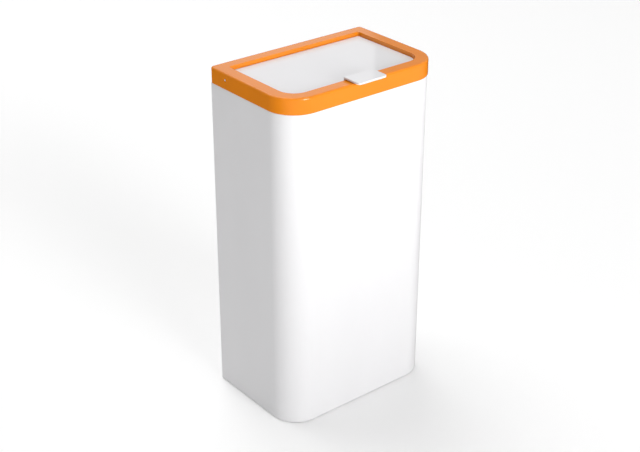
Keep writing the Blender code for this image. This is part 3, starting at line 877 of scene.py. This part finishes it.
def clip_outline():
    """Hook seen from the front, measured from the wall: pad, gusset, arm under the wire, tip beyond it."""
    wire = BODY_HIGH.x - WALL - (RING_HIGH.x - RING_RADIUS)
    arm_top = RING_HEIGHT - RING_RADIUS - FIT
    arm_under = arm_top - CLIP_THICK
    tip_near = wire + RING_RADIUS + FIT
    tip_far = tip_near + CLIP_THICK
    tip_top = RING_HEIGHT + RING_RADIUS
    return rounded([
        (FIT, arm_under - CLIP_GUSSET, CLIP_BACK_ROUND),
        (CLIP_THICK, arm_under - CLIP_GUSSET, CLIP_FOOT_ROUND),
        (CLIP_THICK + CLIP_GUSSET, arm_under, CLIP_GUSSET_ROUND),
        (tip_far, arm_under, CLIP_HEEL_ROUND),
        (tip_far, tip_top, CLIP_TIP_ROUND),
        (tip_near, tip_top, CLIP_TIP_ROUND),
        (tip_near, arm_top, CLIP_ROUND),
        (CLIP_THICK, arm_top, CLIP_ROUND),
        (CLIP_THICK, CLIP_HIGH.z, CLIP_ROUND),
        (FIT, CLIP_HIGH.z, CLIP_BACK_ROUND),
    ])


def make_clips():
    wall_x = BODY_HIGH.x - WALL
    half = (CLIP_HIGH.y - CLIP_LOW.y) / 2.0
    for node in CLIP_NAMES:
        sign = -1.0 if node.endswith("left") else 1.0
        points = [(sign * (wall_x - x), z) for x, z in clip_outline()]
        hook = upright(slab(points, -half, half, CLIP_EDGE), middle_mm(node).y)
        piece = to_object(node.replace("ring_clip", "hoop_hook"), hook)
        finish_piece(piece, CLIP_LOOK, "bin_body", "clip_white", node)


# lift-off top frame


def rim_section():
    """Section of the frame: outer wall, top plate, inner wall and the skirt that goes inside the body."""
    under = RIM_TOP - RIM_PLATE
    return rounded([
        (0.0, RIM_FOOT, RIM_EDGE),
        (0.0, RIM_TOP, RIM_FILLET),
        (RIM_BAND, RIM_TOP, RIM_MOUTH_EDGE),
        (RIM_BAND, RIM_INNER_FOOT, RIM_LIP_EDGE),
        (RIM_INNER, RIM_INNER_FOOT, RIM_LIP_EDGE),
        (RIM_INNER, under, SKIRT_EDGE),
        (SKIRT_IN, under, RIM_LIP_EDGE),
        (SKIRT_IN, RIM_LOW.z, SKIRT_EDGE),
        (SKIRT_OUT, RIM_LOW.z, SKIRT_EDGE),
        (SKIRT_OUT, under, RIM_EDGE),
        (RIM_WALL, under, RIM_EDGE),
        (RIM_WALL, RIM_FOOT, RIM_EDGE),
    ])


def rim_ribs():
    ribs = []
    top = RIM_TOP - RIM_PLATE / 2.0
    half = RIB / 2.0
    near = SKIRT_IN - RIB_BITE
    far = RIM_INNER + RIB_BITE
    for x in RIM_RIBS_X:
        for low, high in ((FRONT + near, FRONT + far), (REAR - far, REAR - near)):
            ribs.append(block((x - half, low, RIB_FOOT), (x + half, high, top)))
    for distance in RIM_RIBS_DEPTH:
        middle = depth(distance)
        for sign in SIGNS:
            ends = sorted((sign * (HALF_WIDTH - near), sign * (HALF_WIDTH - far)))
            ribs.append(block((ends[0], middle - half, RIB_FOOT), (ends[1], middle + half, top)))
    return ribs


def open_stop(sign, opening):
    ends = sorted((sign * STOP_INNER_X, sign * (opening + RIB_BITE)))
    low = (ends[0], depth(STOP_DEPTHS[0]), STOP_HEIGHTS[0])
    high = (ends[1], depth(STOP_DEPTHS[1]), STOP_HEIGHTS[1])
    return block(low, high, STOP_EDGE)


def hinge_rod(sign, near, far, radius):
    ends = sorted((sign * near, sign * far))
    return aimed(rod(radius, ends[0], ends[1]), "X", (0.0, AXIS.y, AXIS.z))


def make_rim():
    rim = to_object("top_frame_moulding", loft(stacked(rim_outline, rim_section()), closed=True))
    joins = rim_ribs()
    joins.append(block((-LEDGE_HALF, depth(RIM_BAND - RIB_BITE), LEDGE_UNDER),
                       (LEDGE_HALF, depth(LEDGE_REAR), LEDGE_TOP), LEDGE_EDGE))
    cuts = []
    opening = HALF_WIDTH - RIM_BAND
    sleeve = (HALF_WIDTH - RIM_INNER - RIB_BITE, HALF_WIDTH - SKIRT_IN + RIB_BITE)
    for side, sign in SIDES:
        joins.append(open_stop(sign, opening))
        joins.append(hinge_rod(sign, sleeve[0], sleeve[1], SLEEVE_RADIUS))
        cuts.append(hinge_rod(sign, opening - BORE_PAST, HALF_WIDTH + BORE_PAST, BORE_RADIUS))
        button = middle_mm("lid_button_" + side)
        cuts.append(upright_rod(button, BUTTON_HOLE, LEDGE_UNDER - PAST, LEDGE_TOP + PAST))
    combine(rim, joins, "UNION")
    combine(rim, cuts, "DIFFERENCE")
    finish_piece(rim, RIM_LOOK, "top_frame", "frame_orange", "rim_frame")


def make_pins():
    radius = (PIN_HIGH.z - PIN_LOW.z) / 2.0
    half = (PIN_HIGH.x - PIN_LOW.x) / 2.0
    profile = rounded([
        (radius * PIN_FLAT, -half, 0.0),
        (radius, -half, PIN_DOME),
        (radius, half, PIN_DOME),
        (radius * PIN_FLAT, half, 0.0),
    ], closed=False)
    for side, _ in SIDES:
        node = "hinge_pin_" + side
        pin = to_object("hinge_axle_" + side, aimed(turned(profile), "X", middle_mm(node)))
        finish_piece(pin, PIN_LOOK, "top_frame", "bright_steel", node)


def make_buttons():
    radius = (BUTTON_HIGH.x - BUTTON_LOW.x) / 2.0
    top = BUTTON_HIGH.z
    profile = rounded([
        (BUTTON_CORE, top, 0.0),
        (radius, top, BUTTON_ROUND),
        (radius, LEDGE_TOP + FIT, BUTTON_SEAT_ROUND),
        (BUTTON_STEM, LEDGE_TOP + FIT, 0.0),
        (BUTTON_STEM, LEDGE_UNDER - FIT, 0.0),
        (BUTTON_STEM + BUTTON_BARB, LEDGE_UNDER - FIT, BUTTON_BARB_ROUND),
        (BUTTON_STEM, BUTTON_LOW.z, BUTTON_BARB_ROUND),
        (BUTTON_CORE, BUTTON_LOW.z, 0.0),
    ], closed=False)
    for side, _ in SIDES:
        node = "lid_button_" + side
        place = middle_mm(node)
        button = to_object("lid_bumper_" + side, aimed(turned(profile), "Z", (place.x, place.y, 0.0)))
        finish_piece(button, RUBBER_LOOK, "top_frame", "black_rubber", node)


# lid


def lid_section():
    """Half section of the lid, from the underside of the plate, round the skirt, to the top."""
    under = LID_TOP - LID_PLATE
    return rounded([
        (LID_SKIRT + LID_MARGIN, under, 0.0),
        (LID_SKIRT, under, LID_SKIRT_EDGE),
        (LID_SKIRT, LID_FOOT, LID_SKIRT_EDGE),
        (0.0, LID_FOOT, LID_SKIRT_EDGE),
        (0.0, LID_TOP, LID_EDGE),
        (LID_MARGIN, LID_TOP, 0.0),
    ], closed=False)


def tab_outline():
    front = LID_LOW.y
    rear = depth(TAB_REAR_DEPTH)
    return rounded([
        (TAB_HALF, front, TAB_CORNER),
        (TAB_HALF, rear, TAB_REAR_CORNER),
        (-TAB_HALF, rear, TAB_REAR_CORNER),
        (-TAB_HALF, front, TAB_CORNER),
    ])


def make_lid():
    lid = to_object("lid_moulding", loft(stacked(lid_outline, lid_section())))
    web_half = TAB_HALF - WEB_INSET
    web = block((-web_half, depth(LID_FRONT_DEPTH + WEB_SET_BACK), LID_FOOT + BITE),
                (web_half, depth(TAB_REAR_DEPTH - WEB_INSET), LID_HIGH.z - BITE))
    tab = slab(tab_outline(), LID_HIGH.z - TAB_THICK, LID_HIGH.z, TAB_EDGE)
    under = LID_TOP - LID_PLATE
    joins = [web, tab, gate_mark(under)]
    front = depth(LID_FRONT_DEPTH) + LID_SKIRT / 2.0
    rear = LID_HIGH.y - LID_SKIRT / 2.0
    for x in LID_RIBS_X:
        joins.append(block((x - RIB / 2.0, front, LID_RIB_FOOT), (x + RIB / 2.0, rear, under + BITE)))
    cuts = ejector_marks(LID_MARKS_X, LID_MARKS_DEPTH, under - BITE, under + EJECTOR_DEEP)
    for sign in SIGNS:
        joins.append(hinge_rod(sign, LID_BOSS_INNER, LID_HIGH.x - LID_SKIRT / 2.0, SLEEVE_RADIUS))
        cuts.append(hinge_rod(sign, LID_BORE_INNER, LID_HIGH.x + BORE_PAST, BORE_RADIUS))
    combine(lid, joins, "UNION")
    combine(lid, cuts, "DIFFERENCE")
    finish_piece(lid, LID_LOOK, "lid", "lid_white", "lid")


# floor, light and camera


def make_floor():
    """Plain pale floor, left out of glossy reflections."""
    mesh = bmesh.new()
    bmesh.ops.create_grid(mesh, x_segments=1, y_segments=1, size=STAGE_HALF / MM)
    floor = to_object("floor", mesh)
    floor.data.transform(Matrix.Scale(MM, 4))
    colour = (STAGE_WHITE, STAGE_WHITE, STAGE_WHITE, 1.0)
    material = new_material("floor_look", colour, STAGE_ROUGHNESS, 0.0, STAGE_SPECULAR)
    shader = material.node_tree.nodes["Principled BSDF"]
    shader.inputs["Emission Color"].default_value = (1.0, 1.0, 1.0, 1.0)
    shader.inputs["Emission Strength"].default_value = STAGE_GLOW
    floor.data.materials.append(material)
    floor.visible_glossy = False


def make_world():
    """Soft surroundings as light, brightest overhead; the camera sees them plain and pale.

    Below the horizon only reflections reach them: dark behind the bin, and a pale floor ahead of it.
    """
    world = bpy.data.worlds.new("studio")
    bpy.context.scene.world = world
    world.use_nodes = True
    tree = world.node_tree
    tree.nodes.clear()
    light = tree.nodes.new("ShaderNodeBackground")
    light.inputs["Strength"].default_value = AMBIENT
    place = tree.nodes.new("ShaderNodeTexCoord")
    direction = tree.nodes.new("ShaderNodeSeparateXYZ")
    tree.links.new(place.outputs["Generated"], direction.inputs["Vector"])
    height = direction.outputs["Z"]
    near_horizon = spread(tree, height, BELOW_HORIZON, AT_HORIZON, -HORIZON_SOFT, 0.0)
    overhead = spread(tree, height, 0.0, 1.0 - AT_HORIZON, 0.0, 1.0)
    ahead = spread(tree, direction.outputs["Y"], PALE_AHEAD, 0.0, -PALE_AHEAD_FROM, 0.0)
    below = spread(tree, height, 1.0, 0.0, -PALE_BELOW_FROM, -HORIZON_SOFT)
    pale_floor = maths(tree, "MULTIPLY", ahead, below)
    tree.links.new(add(tree, add(tree, near_horizon, overhead), pale_floor), light.inputs["Color"])
    seen = tree.nodes.new("ShaderNodeBackground")
    seen.inputs["Color"].default_value = (1.0, 1.0, 1.0, 1.0)
    seen.inputs["Strength"].default_value = BACKDROP
    path = tree.nodes.new("ShaderNodeLightPath")
    mix = tree.nodes.new("ShaderNodeMixShader")
    output = tree.nodes.new("ShaderNodeOutputWorld")
    tree.links.new(path.outputs["Is Camera Ray"], mix.inputs["Fac"])
    tree.links.new(light.outputs["Background"], mix.inputs[1])
    tree.links.new(seen.outputs["Background"], mix.inputs[2])
    tree.links.new(mix.outputs["Shader"], output.inputs["Surface"])


def add_light(name, kind, place, aim, **settings):
    data = bpy.data.lights.new(name, kind)
    for key, value in settings.items():
        setattr(data, key, value)
    light = bpy.data.objects.new(name, data)
    bpy.context.scene.collection.objects.link(light)
    light.location = place
    light.rotation_euler = (Vector(aim) - Vector(place)).to_track_quat("-Z", "Y").to_euler()
    light.visible_camera = False
    return light


def make_lights():
    add_light("top_light", "SUN", TOP_FROM * SUN_AWAY, (0.0, 0.0, 0.0), energy=TOP_STRENGTH,
              angle=math.radians(TOP_SOFTNESS))
    add_light("front_light", "SUN", FRONT_FROM * SUN_AWAY, (0.0, 0.0, 0.0), energy=FRONT_STRENGTH,
              angle=math.radians(FRONT_SOFTNESS))
    add_light("key_light", "AREA", KEY_PLACE, KEY_AIM, energy=KEY_WATTS, shape="SQUARE", size=KEY_SIDE,
              spread=math.radians(KEY_SPREAD))
    # a gridded light that only the upper edge of the front catches
    add_light("edge_light", "AREA", EDGE_PLACE, EDGE_AIM, energy=EDGE_WATTS, shape="SQUARE", size=EDGE_SIDE,
              spread=math.radians(EDGE_SPREAD))
    # the panel behind the bin, whose upright edge shows as a reflection in the lid
    camera = Vector((CAMERA_PLACE[0], CAMERA_PLACE[1], 0.0))
    yaw = math.radians(PANEL_EDGE_YAW)
    ray = Vector((math.sin(yaw), math.cos(yaw), 0.0))
    across = Vector((-ray.y, ray.x, 0.0))
    edge = camera + ray * (camera.length + PANEL_AWAY)
    middle = edge + across * PANEL_WIDE / 2.0 + Vector((0.0, 0.0, PANEL_FOOT + PANEL_TALL / 2.0))
    watts = PANEL_RADIANCE * math.pi * PANEL_WIDE * PANEL_TALL
    add_light("back_panel_light", "AREA", middle, middle - ray, energy=watts, shape="RECTANGLE",
              size=PANEL_WIDE, size_y=PANEL_TALL)


def make_camera():
    yaw = math.radians(CAMERA_YAW)
    pitch = math.radians(CAMERA_PITCH)
    forward = Vector((math.sin(yaw) * math.cos(pitch), math.cos(yaw) * math.cos(pitch), -math.sin(pitch)))
    right = Vector((math.cos(yaw), -math.sin(yaw), 0.0))
    up = right.cross(forward)
    turn = Matrix((right, up, -forward)).transposed() @ Matrix.Rotation(math.radians(CAMERA_ROLL), 3, "Z")
    data = bpy.data.cameras.new("camera")
    data.lens = CAMERA_LENS
    data.sensor_width = SENSOR
    camera = bpy.data.objects.new("camera", data)
    camera.matrix_world = Matrix.Translation(CAMERA_PLACE) @ turn.to_4x4()
    bpy.context.scene.collection.objects.link(camera)
    bpy.context.scene.camera = camera


make_body()
make_panel()
make_screws()
make_feet()
make_ring()
make_clips()
make_rim()
make_pins()
make_buttons()
make_lid()
make_floor()
make_world()
make_lights()
make_camera()
bpy.context.scene.view_settings.view_transform = "Standard"
